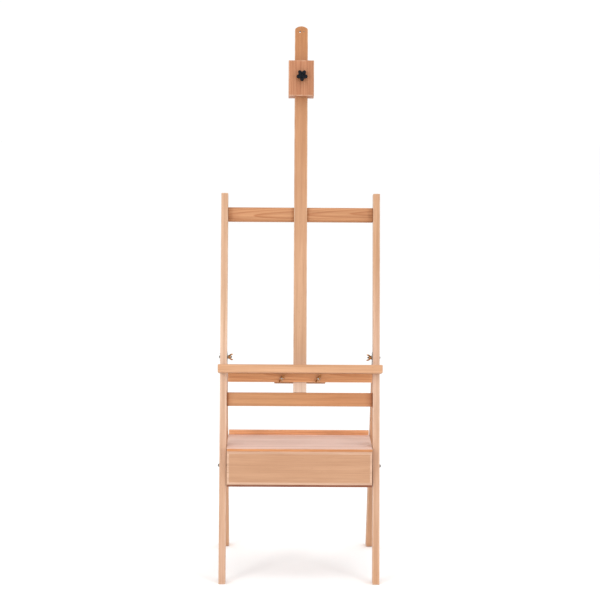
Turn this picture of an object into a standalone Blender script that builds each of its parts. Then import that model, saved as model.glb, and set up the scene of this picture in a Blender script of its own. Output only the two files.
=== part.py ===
"""A wooden artist's easel: a leaning H-frame with a mast, a canvas tray and a canvas holder that slide,
two folding rear legs, and a shallow box with a drawer that hangs between the legs.

X is the easel's width, Y runs to its back and Z is up; sizes are in metres. Each moving assembly hangs
from an empty on its joint's axis. Inside the leaning frame's empty, Y is depth behind the uprights'
front face and Z is length along the uprights, so the frame is modelled as if it stood upright.
"""

import math

import bmesh
import bpy

# ---- driving dimensions ----
GAP = 0.0003                      # left between pieces that touch
FIT = 0.0003                      # radial clearance of a shank in its hole
LEAN = math.radians(12.0)         # the frame leans back by this much
FOOTPRINT = 0.5799                # front foot's toe to rear foot's heel

FRAME_HALF = 0.280                # half of the width over the uprights
STILE_WIDE = 0.024                # uprights and rear legs, across
UPRIGHT_DEEP = 0.045
UPRIGHT_LONG = 1.370
INNER_HALF = FRAME_HALF - STILE_WIDE
TENON_LONG = 0.015

TOP_BAR = {"z": (1.272, 1.322), "y": (0.025, 0.045)}
LOW_BAR = {"z": (0.6195, 0.667), "y": (0.012, 0.034)}

MAST_HALF = 0.023
MAST_Y = (0.0125, 0.0305)
MAST_TOP = 1.971
MAST_ARC = 0.030                  # radius of the mast's rounded top
MAST_HOLE_X, MAST_HOLE_Z, MAST_HOLE_R = -0.005, 1.951, 0.0035

PIVOT_Y, PIVOT_Z = 0.068, 0.794   # leg hinge, inside the leaning frame
LEG_DEEP = 0.044
LEG_SPLAY = math.radians(23.1)    # the rear legs' own lean, from vertical
STUD_DOWN = 0.3614                # leg hinge to the stud that the box hooks over
PLATE_THICK = 0.002               # the hinge plates are let in flush
HEAD_R = 0.033                    # the leg's head is thinned this far round the hinge to pass the plates
PLATE_Y, PLATE_Z = (0.014, 0.084), (0.771, 0.813)
RIVETS = ((0.026, 0.803), (0.026, 0.781))

BOX_PIVOT_Y, BOX_PIVOT_Z = 0.022, 0.412   # box hinge, inside the leaning frame
BOX_HALF = 0.254
BOX_WALL = 0.012
BOX_FRONT, BOX_BACK = -0.0450, 0.2150     # from the box hinge; the back panel stands behind BOX_BACK
BOX_FLOOR, BOX_TOP, RAIL_TOP = -0.0674, 0.0676, 0.0838
FLOOR_THICK, LID_THICK = 0.007, 0.009
DRAWER_HALF = 0.233
DRAWER_WALL = 0.010
DRAWER_DEEP = 0.195

TRAY_Z = 0.733                    # underside of the tray's shelf, inside the leaning frame
TRAY_HALF = 0.2855
TRAY_BOARD = (-0.2525, 0.2545)    # the board between the uprights sits a little to the right
HOLDER_Z = 1.716                  # underside of the canvas holder
HOLDER_HALF, HOLDER_TALL = 0.045, 0.127

BOLT_R = 0.003                    # M6
SCREW_R = 0.0018
KNOB_STUD_R = 0.004               # M8
BOLT_SIDES, SMALL_SIDES = 16, 12

PINE = (0.72, 0.50, 0.33, 1.0)
PINE_DARK = (0.62, 0.36, 0.18, 1.0)
PINE_PALE = (0.80, 0.62, 0.47, 1.0)
STEEL = (0.42, 0.40, 0.38, 1.0)
BRASS = (0.55, 0.30, 0.13, 1.0)
BLACK = (0.012, 0.014, 0.018, 1.0)


# ---- scene, empties and materials ----
def clear_scene():
    for thing in list(bpy.data.objects):
        bpy.data.objects.remove(thing)


def empty(name, parent=None, location=(0, 0, 0), tilt=0.0):
    """An empty turned by tilt about X, which its children are modelled around."""
    made = bpy.data.objects.new(name, None)
    made.empty_display_size = 0.03
    made.location = location
    made.rotation_euler.x = tilt
    made.parent = parent
    bpy.context.collection.objects.link(made)
    return made


def material(name, colour, roughness, metallic=0.0):
    made = bpy.data.materials.new(name)
    made.use_nodes = True
    shader = made.node_tree.nodes["Principled BSDF"]
    shader.inputs["Base Color"].default_value = colour
    shader.inputs["Roughness"].default_value = roughness
    shader.inputs["Metallic"].default_value = metallic
    return made


WOODS = {"pine": (PINE, 0.55), "dark": (PINE_DARK, 0.5), "pale": (PINE_PALE, 0.6)}
METALS = {"steel": (STEEL, 0.35), "brass": (BRASS, 0.3)}


def paint(thing, look):
    if look in WOODS:
        thing.data.materials.append(material(thing.name, *WOODS[look]))
    elif look in METALS:
        thing.data.materials.append(material(thing.name, *METALS[look], metallic=1.0))
    else:
        thing.data.materials.append(material(thing.name, BLACK, 0.4))


# ---- shapes ----
def finish(name, mesh, parent, location=(0, 0, 0), look=None):
    """Turns a bmesh into an object under its parent; with no look it is a cutter, left out of the part."""
    bmesh.ops.recalc_face_normals(mesh, faces=mesh.faces)
    data = bpy.data.meshes.new(name)
    mesh.to_mesh(data)
    mesh.free()
    thing = bpy.data.objects.new(name, data)
    thing.location = location
    thing.parent = parent
    bpy.context.collection.objects.link(thing)
    if look is None:
        thing.hide_render = True
        thing.display_type = "WIRE"
    else:
        paint(thing, look)
    return thing


def prism(name, parent, outline, span, along="x", look=None, ease=0.0, location=(0, 0, 0)):
    """An outline in the plane across an axis, extruded over span; ease rounds its long edges."""
    place = {
        "x": lambda a, b, c: (c, a, b),
        "y": lambda a, b, c: (a, c, b),
        "z": lambda a, b, c: (a, b, c),
    }[along]
    mesh = bmesh.new()
    low = [mesh.verts.new(place(a, b, span[0])) for a, b in outline]
    face = mesh.faces.new(low)
    grown = bmesh.ops.extrude_face_region(mesh, geom=[face])
    corners = [v for v in grown["geom"] if isinstance(v, bmesh.types.BMVert)]
    bmesh.ops.translate(mesh, verts=corners, vec=place(0, 0, span[1] - span[0]))
    thing = finish(name, mesh, parent, location, look)
    if ease:
        round_edges(thing, ease)
    return thing


def board(name, parent, x, y, z, look=None, ease=0.0, location=(0, 0, 0)):
    outline = [(y[0], z[0]), (y[1], z[0]), (y[1], z[1]), (y[0], z[1])]
    return prism(name, parent, outline, x, "x", look, ease, location)


def round_edges(thing, width, segments=1):
    bevel = thing.modifiers.new("eased edges", "BEVEL")
    bevel.width = width
    bevel.segments = segments
    bevel.limit_method = "ANGLE"
    bevel.angle_limit = math.radians(40)


def arc(centre, radius, start, stop, steps):
    """Points on a circle, both ends included; angles in degrees."""
    turns = [math.radians(start + (stop - start) * i / steps) for i in range(steps + 1)]
    return [(centre[0] + radius * math.cos(t), centre[1] + radius * math.sin(t)) for t in turns]


def rod(name, parent, profile, sides, along="x", look=None, location=(0, 0, 0)):
    """A turned piece: profile lists (place along the axis, radius) from one end to the other."""
    place = {
        "x": lambda s, a, b: (s, a, b),
        "y": lambda s, a, b: (a, s, b),
        "z": lambda s, a, b: (a, b, s),
    }[along]
    mesh = bmesh.new()
    rings = []
    for s, radius in profile:
        turn = [2 * math.pi * i / sides for i in range(sides)]
        rings.append([mesh.verts.new(place(s, radius * math.cos(t), radius * math.sin(t))) for t in turn])
    for ring, after in zip(rings, rings[1:]):
        for i in range(sides):
            j = (i + 1) % sides
            mesh.faces.new((ring[i], ring[j], after[j], after[i]))
    mesh.faces.new(rings[0])
    mesh.faces.new(rings[-1])
    thing = finish(name, mesh, parent, location, look)
    thing.data.shade_smooth()
    thing.data.set_sharp_from_angle(angle=math.radians(35))
    return thing


def carve(thing, cutter, operation="DIFFERENCE"):
    step = thing.modifiers.new(cutter.name, "BOOLEAN")
    step.operation = operation
    step.solver = "EXACT"
    step.object = cutter


def hole(thing, parent, centre, radius, span, along="x", sides=SMALL_SIDES):
    """A round hole along an axis; centre gives the two other coordinates."""
    spot = {
        "x": (0, centre[0], centre[1]),
        "y": (centre[0], 0, centre[1]),
        "z": (centre[0], centre[1], 0),
    }[along]
    ends = [(span[0], radius), (span[1], radius)]
    carve(thing, rod("hole_in_" + thing.name, parent, ends, sides, along, None, spot))


def dome(start, radius, high, steps=4):
    """Profile of a domed head that begins at start and rises by high (negative: the other way)."""
    points = []
    for i in range(steps + 1):
        turn = math.pi / 2 * i / steps
        points.append((start + high * math.sin(turn), max(radius * math.cos(turn), radius * 0.25)))
    return points


def ring(name, parent, outer, inner, span, along, look, location, sides=BOLT_SIDES):
    thing = rod(name, parent, [(span[0], outer), (span[1], outer)], sides, along, look, location)
    bore = [(span[0] - 0.002, inner), (span[1] + 0.002, inner)]
    carve(thing, rod("bore_of_" + name, parent, bore, sides, along, None, location))
    return thing


def wing_nut(name, parent, side, along, look="brass", turn=0.0):
    """A wing nut that stands on its parent's origin and points to side along the parent's axis."""
    hub = [(0.0, 0.0065), (side * 0.0015, 0.0065), (side * 0.009, 0.0048)]
    nut = rod(name, parent, hub, BOLT_SIDES, along, look)
    for sign in (1, -1):
        wing = [
            (sign * 0.0030, 0.0015),
            (sign * 0.0070, 0.0012),
            (sign * 0.0125, 0.0066),
            (sign * 0.0142, 0.0120),
            (sign * 0.0118, 0.0140),
            (sign * 0.0090, 0.0128),
            (sign * 0.0052, 0.0070),
            (sign * 0.0030, 0.0070),
        ]
        outline = [(across, side * out) for across, out in wing]
        blade_axis = "y" if along == "x" else "x"
        profile = [(out, across) for across, out in outline]
        blade = prism("wing_of_" + name, parent, profile, (-0.0012, 0.0012), blade_axis)
        blade.rotation_euler = (turn, 0, 0) if along == "x" else (0, turn, 0)
        carve(nut, blade, "UNION")
    bore = [(-0.02, BOLT_R + FIT), (0.02, BOLT_R + FIT)]
    carve(nut, rod("bore_of_" + name, parent, bore, BOLT_SIDES, along))
    return nut


# ---- front frame ----
def upright(name, frame, sign):
    toe = UPRIGHT_DEEP * math.tan(LEAN)
    outline = [(0, 0), (UPRIGHT_DEEP, toe), (UPRIGHT_DEEP, UPRIGHT_LONG), (0, UPRIGHT_LONG)]
    span = sorted((sign * INNER_HALF, sign * FRAME_HALF))
    post = prism(name, frame, outline, span, "x", "pale", 0.0015)
    for bar in (TOP_BAR, LOW_BAR):
        y, z = tenon_section(bar)
        x = sorted((sign * (INNER_HALF - 0.001), sign * (INNER_HALF + TENON_LONG + GAP)))
        slot = board("mortise_in_" + name, frame, x, (y[0] - GAP, y[1] + GAP), (z[0] - GAP, z[1] + GAP))
        carve(post, slot)
    reach = (sign * FRAME_HALF - 0.04, sign * FRAME_HALF + 0.04)
    hole(post, frame, (BOX_PIVOT_Y, BOX_PIVOT_Z), BOLT_R + FIT, reach)
    for rivet in RIVETS:
        hole(post, frame, rivet, 0.002 + FIT, reach)
    for x in let_in(sign):
        y = (PLATE_Y[0] - GAP, UPRIGHT_DEEP + 0.01)
        carve(post, board("housing_in_" + name, frame, x, y, (PLATE_Z[0] - GAP, PLATE_Z[1] + GAP)))
    return post


def let_in(sign):
    """The two slices, one at each face of the timber, that the hinge plates need."""
    depth = PLATE_THICK + GAP
    inner = sorted((sign * (INNER_HALF - 0.005), sign * (INNER_HALF + depth)))
    outer = sorted((sign * (FRAME_HALF + 0.005), sign * (FRAME_HALF - depth)))
    return inner, outer


def tenon_section(bar):
    middle = sum(bar["y"]) / 2
    return (middle - 0.005, middle + 0.005), (bar["z"][0] + 0.005, bar["z"][1] - 0.005)


def crossbar(name, frame, bar, outline):
    """A rail with a stub tenon on each end."""
    half = INNER_HALF - GAP
    rail = prism(name, frame, outline, (-half, half), "x", "dark", 0.001)
    y, z = tenon_section(bar)
    for sign in (1, -1):
        x = sorted((sign * (half - 0.005), sign * (INNER_HALF + TENON_LONG - GAP)))
        carve(rail, board("tenon_of_" + name, frame, x, y, z), "UNION")
    return rail


def build_crossbars(frame):
    (front, back), (low, high) = TOP_BAR["y"], TOP_BAR["z"]
    chamfer = 0.006
    outline = [(front + chamfer, low), (back, low), (back, high), (front, high), (front, low + chamfer)]
    top = crossbar("top_crossbar", frame, TOP_BAR, outline)
    housing_half = MAST_HALF + GAP
    housing = ((front - 0.005, MAST_Y[1] + GAP), (low - 0.01, high + 0.01))
    carve(top, board("mast_housing", frame, (-housing_half, housing_half), *housing))
    (front, back), (low, high) = LOW_BAR["y"], LOW_BAR["z"]
    outline = [(front, low), (back, low), (back, high), (front, high)]
    bottom = crossbar("lower_crossbar", frame, LOW_BAR, outline)
    mortise = ((-0.015 - GAP, 0.015 + GAP), (0.017 - GAP, 0.026 + GAP), (0.645 - GAP, high + 0.01))
    carve(bottom, board("mast_mortise", frame, *mortise))
    return top


def build_mast(frame, top):
    reach = math.degrees(math.asin(MAST_HALF / MAST_ARC))
    foot = LOW_BAR["z"][1] + GAP
    round_top = arc((0, MAST_TOP - MAST_ARC), MAST_ARC, 90 - reach, 90 + reach, 12)
    outline = [(-MAST_HALF, foot), (MAST_HALF, foot)] + round_top
    mast = prism("mast", frame, outline, MAST_Y, "y", "pine", 0.001)
    tenon = board("tenon_of_mast", frame, (-0.015, 0.015), (0.017, 0.026), (0.645, foot + 0.004))
    carve(mast, tenon, "UNION")
    hole(mast, frame, (MAST_HOLE_X, MAST_HOLE_Z), MAST_HOLE_R, (0.0, 0.05), "y")
    head = TOP_BAR["y"][1]
    for number, z in enumerate((1.285, 1.309), 1):
        screw = [(head, 0.0038), (head - 0.003, SCREW_R), (0.018, SCREW_R), (0.0165, 0.0006)]
        rod(f"mast_screw_{number}", frame, screw, SMALL_SIDES, "y", "steel", (0, 0, z))
        clear = [(head + 0.0006, 0.0048), (head - 0.003, SCREW_R + FIT), (0.0155, SCREW_R + FIT)]
        cutter = rod("screw_way", frame, clear, SMALL_SIDES, "y", None, (0, 0, z))
        carve(top, cutter)
        carve(mast, cutter)


def hinge_plate(name, frame, x):
    corner = 0.006
    (front, back), (low, high) = PLATE_Y, PLATE_Z
    corners = ((back - corner, high - corner, 0), (front + corner, high - corner, 90),
               (front + corner, low + corner, 180), (back - corner, low + corner, 270))
    outline = [p for y, z, start in corners for p in arc((y, z), corner, start, start + 90, 3)]
    plate = prism(name, frame, outline, x, "x", "steel")
    reach = (x[0] - 0.01, x[1] + 0.01)
    hole(plate, frame, (PIVOT_Y, PIVOT_Z), BOLT_R + FIT, reach)
    for rivet in RIVETS:
        hole(plate, frame, rivet, 0.002 + FIT, reach)


def build_hinge(side, sign, frame):
    """Two cheek plates riveted to the upright, and the bolt, washer and wing nut that clamp the leg."""
    inner = sorted((sign * INNER_HALF, sign * (INNER_HALF + PLATE_THICK)))
    outer = sorted((sign * FRAME_HALF, sign * (FRAME_HALF - PLATE_THICK)))
    hinge_plate(f"hinge_plate_{side}_inner", frame, inner)
    hinge_plate(f"hinge_plate_{side}_outer", frame, outer)
    outside, inside = sign * (FRAME_HALF + GAP), sign * (INNER_HALF - GAP)
    for word, (y, z) in zip(("upper", "lower"), RIVETS):
        shank = [(outside, 0.0036), (outside, 0.002), (inside, 0.002), (inside, 0.0036)]
        outer_head = dome(outside, 0.0036, sign * 0.0014, 3)
        inner_head = dome(inside, 0.0036, -sign * 0.0014, 3)
        profile = tidy_profile(outer_head[::-1] + shank + inner_head)
        rod(f"hinge_rivet_{side}_{word}", frame, profile, SMALL_SIDES, "x", "steel", (0, y, z))
    tip = inside - sign * 0.0150
    bolt = dome(outside, 0.0056, sign * 0.0057)[::-1] + [(outside, BOLT_R), (tip, BOLT_R)]
    rod(f"leg_bolt_{side}", frame, tidy_profile(bolt), BOLT_SIDES, "x", "steel", (0, PIVOT_Y, PIVOT_Z))
    washer = sorted((inside - sign * GAP, inside - sign * (GAP + 0.0015)))
    spot = (0, PIVOT_Y, PIVOT_Z)
    ring(f"leg_washer_{side}", frame, 0.008, BOLT_R + FIT, washer, "x", "steel", spot)
    seat = empty(f"leg_wing_nut_axis_{side}", frame, (inside - sign * (2 * GAP + 0.0015), PIVOT_Y, PIVOT_Z))
    wing_nut(f"leg_wing_nut_{side}", seat, -sign, "x", turn=math.radians(55))


def tidy_profile(points):
    """Drops points that repeat the one before."""
    kept = []
    for point in points:
        if not kept or math.dist(kept[-1], point) > 1e-6:
            kept.append(point)
    return kept


# ---- rear legs ----
def build_leg(side, sign, frame):
    """A leg hung on its hinge: its empty's Z runs up the leg, and the foot is cut level."""
    pivot = empty(f"leg_axis_{side}", frame, (0, PIVOT_Y, PIVOT_Z), LEG_SPLAY + LEAN)
    height = PIVOT_Z * math.cos(LEAN) - PIVOT_Y * math.sin(LEAN)
    half, slope = LEG_DEEP / 2, math.tan(LEG_SPLAY)
    long = height / math.cos(LEG_SPLAY)
    outline = arc((0, 0), half, 0, 180, 12) + [(-half, -long + half * slope), (half, -long - half * slope)]
    x = sorted((sign * INNER_HALF, sign * FRAME_HALF))
    leg = prism(f"leg_{side}", pivot, outline, x, "x", "pine", 0.0015)
    for span in let_in(sign):
        carve(leg, rod(f"thinning_of_leg_{side}", pivot, [(span[0], HEAD_R), (span[1], HEAD_R)], 32))
    reach = (sign * FRAME_HALF - 0.04, sign * FRAME_HALF + 0.04)
    hole(leg, pivot, (0, 0), BOLT_R + FIT, reach)
    hole(leg, pivot, (0, -STUD_DOWN), BOLT_R + FIT, reach)
    outside, tip = sign * (FRAME_HALF + GAP), sign * (BOX_HALF + 0.0008)
    stud = dome(outside, 0.0055, sign * 0.0035)[::-1] + [(outside, BOLT_R), (tip, BOLT_R)]
    rod(f"leg_stud_{side}", pivot, tidy_profile(stud), BOLT_SIDES, "x", "steel", (0, 0, -STUD_DOWN))


# ---- box and drawer ----
def build_box(frame):
    """The box hangs level on two bolts; its empty lies on their axis and is turned back to level."""
    pivot = empty("box_axis", frame, (0, BOX_PIVOT_Y, BOX_PIVOT_Z), LEAN)
    floor, ceiling = BOX_FLOOR + FLOOR_THICK + GAP, BOX_TOP - LID_THICK - GAP
    face = BOX_FRONT + BOX_WALL + GAP
    depth = (BOX_FRONT, BOX_BACK - GAP)
    board("box_lid", pivot, (-BOX_HALF, BOX_HALF), depth, (BOX_TOP - LID_THICK, BOX_TOP), "pale", 0.001)
    board("box_floor", pivot, (-BOX_HALF, BOX_HALF), (BOX_FRONT + 0.002, BOX_BACK - GAP),
          (BOX_FLOOR, BOX_FLOOR + FLOOR_THICK), "pine", 0.0008)
    board("box_back", pivot, (-BOX_HALF + 0.002, BOX_HALF - 0.002), (BOX_BACK, BOX_BACK + BOX_WALL),
          (BOX_FLOOR, RAIL_TOP), "dark", 0.001)
    for side, sign in (("left", -1), ("right", 1)):
        x = sorted((sign * BOX_HALF, sign * (BOX_HALF - BOX_WALL)))
        wall = board(f"box_side_{side}", pivot, x, (face, BOX_BACK - GAP), (floor, ceiling), "pine", 0.0008)
        hole(wall, pivot, (0, 0), BOLT_R + FIT, (x[0] - 0.01, x[1] + 0.01))
        build_hook(side, x, pivot)
        build_box_bolt(side, sign, frame)
        guide = sorted((sign * (DRAWER_HALF + 0.0006), sign * (BOX_HALF - BOX_WALL - GAP)))
        board(f"drawer_guide_{side}", pivot, guide, (0.0, 0.200), (floor, floor + 0.015), "pine", 0.0008)
    build_drawer(pivot, floor, ceiling)


def build_hook(side, x, pivot):
    """A cleat behind the box with a notch, open below, that drops over the leg's stud."""
    lean = LEG_SPLAY + LEAN
    stud_y = PIVOT_Y + STUD_DOWN * math.sin(lean)
    stud_z = PIVOT_Z - STUD_DOWN * math.cos(lean)
    across, up = stud_y - BOX_PIVOT_Y, stud_z - BOX_PIVOT_Z
    y = across * math.cos(LEAN) + up * math.sin(LEAN)
    z = up * math.cos(LEAN) - across * math.sin(LEAN)
    width = BOLT_R + 0.0008
    low, high = z - 0.024, BOX_TOP - 0.008
    back = BOX_BACK + BOX_WALL + GAP
    outline = [(back, low), (y - width, low)] + arc((y, z), width, 180, 0, 8)
    outline += [(y + width, low), (y + 0.016, low), (y + 0.016, high - 0.012)]
    outline += [(y + 0.006, high), (back, high)]
    prism(f"box_hook_{side}", pivot, outline, x, "x", "pine", 0.0006)


def build_box_bolt(side, sign, frame):
    """The domed bolt through upright and box side, with a nut inside the box."""
    spot = (0, BOX_PIVOT_Y, BOX_PIVOT_Z)
    outside = sign * (FRAME_HALF + GAP)
    inside = sign * (BOX_HALF - BOX_WALL - GAP)
    bolt = dome(outside, 0.0060, sign * 0.0056)[::-1] + [(outside, BOLT_R), (inside - sign * 0.006, BOLT_R)]
    rod(f"box_bolt_{side}", frame, tidy_profile(bolt), BOLT_SIDES, "x", "steel", spot)
    nut = sorted((inside, inside - sign * 0.005))
    made = rod(f"box_nut_{side}", frame, [(nut[0], 0.0058), (nut[1], 0.0058)], 6, "x", "steel", spot)
    bore = [(nut[0] - 0.001, BOLT_R + FIT), (nut[1] + 0.001, BOLT_R + FIT)]
    carve(made, rod("bore_of_box_nut", frame, bore, SMALL_SIDES, "x", None, spot))


def build_drawer(pivot, floor, ceiling):
    slide = empty("drawer_slide", pivot)
    raised_panel("drawer_front", slide, (floor, ceiling))
    back = BOX_FRONT + BOX_WALL + GAP
    top, bottom = 0.030, floor + GAP
    inner = DRAWER_HALF - DRAWER_WALL - GAP
    for side, sign in (("left", -1), ("right", 1)):
        x = sorted((sign * DRAWER_HALF, sign * (DRAWER_HALF - DRAWER_WALL)))
        board(f"drawer_side_{side}", slide, x, (back, DRAWER_DEEP), (bottom, top), "pine", 0.0008)
    board("drawer_back", slide, (-inner, inner), (DRAWER_DEEP - DRAWER_WALL, DRAWER_DEEP), (bottom, top),
          "pine", 0.0008)
    ply = (bottom + 0.004, bottom + 0.008)
    board("drawer_floor", slide, (-inner, inner), (back, DRAWER_DEEP - DRAWER_WALL - GAP), ply, "pale")


def raised_panel(name, parent, z, border=0.0095, fall=0.003):
    """A drawer front whose face stands proud of a sloping border on all four sides."""
    half = BOX_HALF - 0.0005
    mesh = bmesh.new()
    back, front = BOX_FRONT + BOX_WALL, BOX_FRONT
    loops = []
    for y, inset in ((back, 0.0), (front + fall, 0.0), (front, border)):
        x, low, high = half - inset, z[0] + inset, z[1] - inset
        loops.append([mesh.verts.new(p) for p in ((-x, y, low), (x, y, low), (x, y, high), (-x, y, high))])
    for first, second in zip(loops, loops[1:]):
        for i in range(4):
            j = (i + 1) % 4
            mesh.faces.new((first[i], first[j], second[j], second[i]))
    mesh.faces.new(loops[0])
    mesh.faces.new(loops[-1])
    panel = finish(name, mesh, parent, look="dark")
    round_edges(panel, 0.0006)
    return panel


# ---- canvas tray ----
def build_tray(frame):
    """Shelf, lip and board in front of the mast, clamped by two bolts to a block behind it."""
    slide = empty("tray_slide", frame, (0, 0, TRAY_Z))
    x = (-TRAY_HALF, TRAY_HALF)
    board("tray_shelf", slide, x, (-0.085, -GAP), (0.0, 0.012), "pine", 0.001)
    board("tray_lip", slide, x, (-0.095, -0.085 - GAP), (0.0, 0.0275), "pine", 0.0015)
    fence = board("tray_board", slide, TRAY_BOARD, (0.0, 0.012), (-0.0297, 0.0265), "dark", 0.0015)
    block_back = 0.049
    block = board("tray_block", slide, (-0.090, 0.090), (0.031, block_back), (-0.033, 0.027), "dark", 0.0015)
    bolt_z = -0.018
    for side, sign in (("left", -1), ("right", 1)):
        x, reach = sign * 0.064, (-0.02, 0.07)
        for piece in (fence, block):
            hole(piece, slide, (x, bolt_z), BOLT_R + FIT, reach, "y")
        head = block_back + GAP
        shank = [(head, BOLT_R), (-0.0150, BOLT_R)]
        bolt = dome(head, 0.0065, 0.0038)[::-1] + shank
        rod(f"tray_bolt_{side}", slide, tidy_profile(bolt), BOLT_SIDES, "y", "steel", (x, 0, bolt_z))
        washer, spot = (-GAP - 0.0015, -GAP), (x, 0, bolt_z)
        ring(f"tray_washer_{side}", slide, 0.0075, BOLT_R + FIT, washer, "y", "steel", spot)
        seat = empty(f"tray_wing_nut_axis_{side}", slide, (x, -0.0015 - 2 * GAP, bolt_z))
        wing_nut(f"tray_wing_nut_{side}", seat, -1, "y", turn=math.radians(35))


# ---- canvas holder ----
def build_holder(frame):
    """A block grooved for the mast and closed by a back plate, clamped by the star knob's stud."""
    slide = empty("holder_slide", frame, (0, 0, HOLDER_Z))
    front, floor_y, back = -0.013, 0.0120, 0.0310
    groove = MAST_HALF + 0.0004
    h = HOLDER_HALF
    outline = [(-h, front), (h, front), (h, back), (groove, back), (groove, floor_y), (-groove, floor_y),
               (-groove, back), (-h, back)]
    block = prism("holder_block", slide, outline, (0.0, HOLDER_TALL), "z", "dark", 0.0012)
    plate = (back + GAP, back + GAP + 0.012)
    board("holder_back_plate", slide, (-h, h), plate, (0.0, HOLDER_TALL), "dark", 0.0012)
    z = 0.070
    spot = (0.0025, 0, z)
    bush_r, stud_way, pad_way = 0.0055, KNOB_STUD_R + FIT, 0.0085
    bush_way = [(-0.02, bush_r + FIT), (-0.0005, bush_r + FIT), (-0.0005, stud_way),
                (0.0092, stud_way), (0.0092, pad_way), (0.020, pad_way)]
    carve(block, rod("bush_way", slide, bush_way, BOLT_SIDES, "y", None, spot))
    flange = front - GAP
    bush = [(flange - 0.0015, 0.0080), (flange, 0.0080), (flange, bush_r), (-0.0010, bush_r)]
    made = rod("holder_bush", slide, bush, BOLT_SIDES, "y", "brass", spot)
    bore = [(-0.02, stud_way), (0.002, stud_way)]
    carve(made, rod("bore_of_bush", slide, bore, BOLT_SIDES, "y", None, spot))
    rod("holder_pad", slide, [(0.0097, 0.0080), (0.0121, 0.0080)], BOLT_SIDES, "y", "brass", spot)
    build_knob(slide, spot)


def build_knob(slide, spot):
    """A five-lobed hand knob, one lobe straight down, with a dished boss in front."""
    axis = empty("knob_axis", slide, spot)
    lobes, points = 5, 50
    turns = [2 * math.pi * i / points for i in range(points)]
    radii = [0.0163 + 0.0040 * math.cos(lobes * (t + math.pi / 2)) for t in turns]
    outline = [(r * math.cos(t), r * math.sin(t)) for r, t in zip(radii, turns)]
    knob = prism("knob", axis, outline, (-0.0340, -0.0210), "y", "black", 0.0015)
    carve(knob, rod("knob_hub", axis, [(-0.0230, 0.0095), (-0.0155, 0.0095)], BOLT_SIDES, "y"), "UNION")
    boss = [(-0.0362, 0.0078), (-0.0330, 0.0088)]
    carve(knob, rod("knob_boss", axis, boss, BOLT_SIDES, "y"), "UNION")
    carve(knob, rod("knob_dish", axis, [(-0.0370, 0.0058), (-0.0345, 0.0050)], BOLT_SIDES, "y"))
    bore = [(-0.0300, KNOB_STUD_R + FIT), (-0.0100, KNOB_STUD_R + FIT)]
    carve(knob, rod("knob_bore", axis, bore, BOLT_SIDES, "y"))
    rod("knob_stud", axis, [(-0.0297, KNOB_STUD_R), (0.0094, KNOB_STUD_R)], BOLT_SIDES, "y", "steel")


def build_easel():
    frame = empty("front_frame", None, (0, -FOOTPRINT / 2, 0), -LEAN)
    upright("upright_left", frame, -1)
    upright("upright_right", frame, 1)
    top = build_crossbars(frame)
    build_mast(frame, top)
    for side, sign in (("left", -1), ("right", 1)):
        build_hinge(side, sign, frame)
        build_leg(side, sign, frame)
    build_box(frame)
    build_tray(frame)
    build_holder(frame)


clear_scene()
build_easel()
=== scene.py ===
"""Looks of the wooden artist's easel: fine-edged timber, real fastenings and oiled pine grain around the
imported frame. Places come from the frame's own boxes and from the easel's few driving sizes, in metres."""
import math

import bpy
from mathutils import Euler, Matrix, Vector


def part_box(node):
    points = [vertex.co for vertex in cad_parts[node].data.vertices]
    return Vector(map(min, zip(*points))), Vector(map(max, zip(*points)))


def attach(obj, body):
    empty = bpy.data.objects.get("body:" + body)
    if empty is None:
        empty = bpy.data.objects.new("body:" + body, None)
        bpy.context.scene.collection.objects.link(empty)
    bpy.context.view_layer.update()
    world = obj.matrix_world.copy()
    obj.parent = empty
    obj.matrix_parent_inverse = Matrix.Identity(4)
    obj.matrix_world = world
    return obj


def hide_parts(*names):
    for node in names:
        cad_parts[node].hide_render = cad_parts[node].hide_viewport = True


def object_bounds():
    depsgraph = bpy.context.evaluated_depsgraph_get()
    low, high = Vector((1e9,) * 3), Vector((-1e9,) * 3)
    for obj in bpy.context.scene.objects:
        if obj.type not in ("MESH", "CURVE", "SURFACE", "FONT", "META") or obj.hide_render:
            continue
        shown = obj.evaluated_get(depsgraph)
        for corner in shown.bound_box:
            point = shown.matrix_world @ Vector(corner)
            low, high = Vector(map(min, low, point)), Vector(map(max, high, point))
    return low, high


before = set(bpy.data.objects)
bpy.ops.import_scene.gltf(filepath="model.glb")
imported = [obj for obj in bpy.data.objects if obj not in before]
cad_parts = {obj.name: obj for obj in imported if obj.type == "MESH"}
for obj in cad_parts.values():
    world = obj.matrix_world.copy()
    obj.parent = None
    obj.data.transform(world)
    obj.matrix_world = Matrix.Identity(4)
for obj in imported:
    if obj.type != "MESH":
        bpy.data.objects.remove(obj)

cad_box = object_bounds()

# ---- the easel's driving sizes ----
LEAN = math.radians(12.0)                 # the frame leans back by this much
LEG_SPLAY = math.radians(23.1)            # the rear legs' own lean
FRAME_HALF = 0.280                        # half the width over the uprights
INNER_HALF = 0.256                        # half the clear width between them
GAP = 0.0003                              # between pieces that rest on each other
FOOT_Y = cad_box[0][1]                    # toe of the front feet

ALONG_FRAME = Matrix.Translation((0, FOOT_Y, 0)) @ Matrix.Rotation(-LEAN, 4, "X")


def on_frame(x, depth, along):
    """A place given as width, depth behind the uprights' front face and length along them."""
    return ALONG_FRAME @ Vector((x, depth, along))


# =====================================================================================
# Building shaders
# =====================================================================================
def link(tree, source, target):
    tree.links.new(source, target)


def math_node(tree, operation, first, second=None):
    node = tree.nodes.new("ShaderNodeMath")
    node.operation = operation
    for socket, value in zip(node.inputs, (first, second)):
        if value is None:
            continue
        if isinstance(value, (int, float)):
            socket.default_value = value
        else:
            link(tree, value, socket)
    return node.outputs[0]


def plus(tree, first, second):
    return math_node(tree, "ADD", first, second)


def times(tree, first, second):
    return math_node(tree, "MULTIPLY", first, second)


def grey(value):
    return (value, value, value)


NONE, FULL = grey(0.0), grey(1.0)


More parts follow.
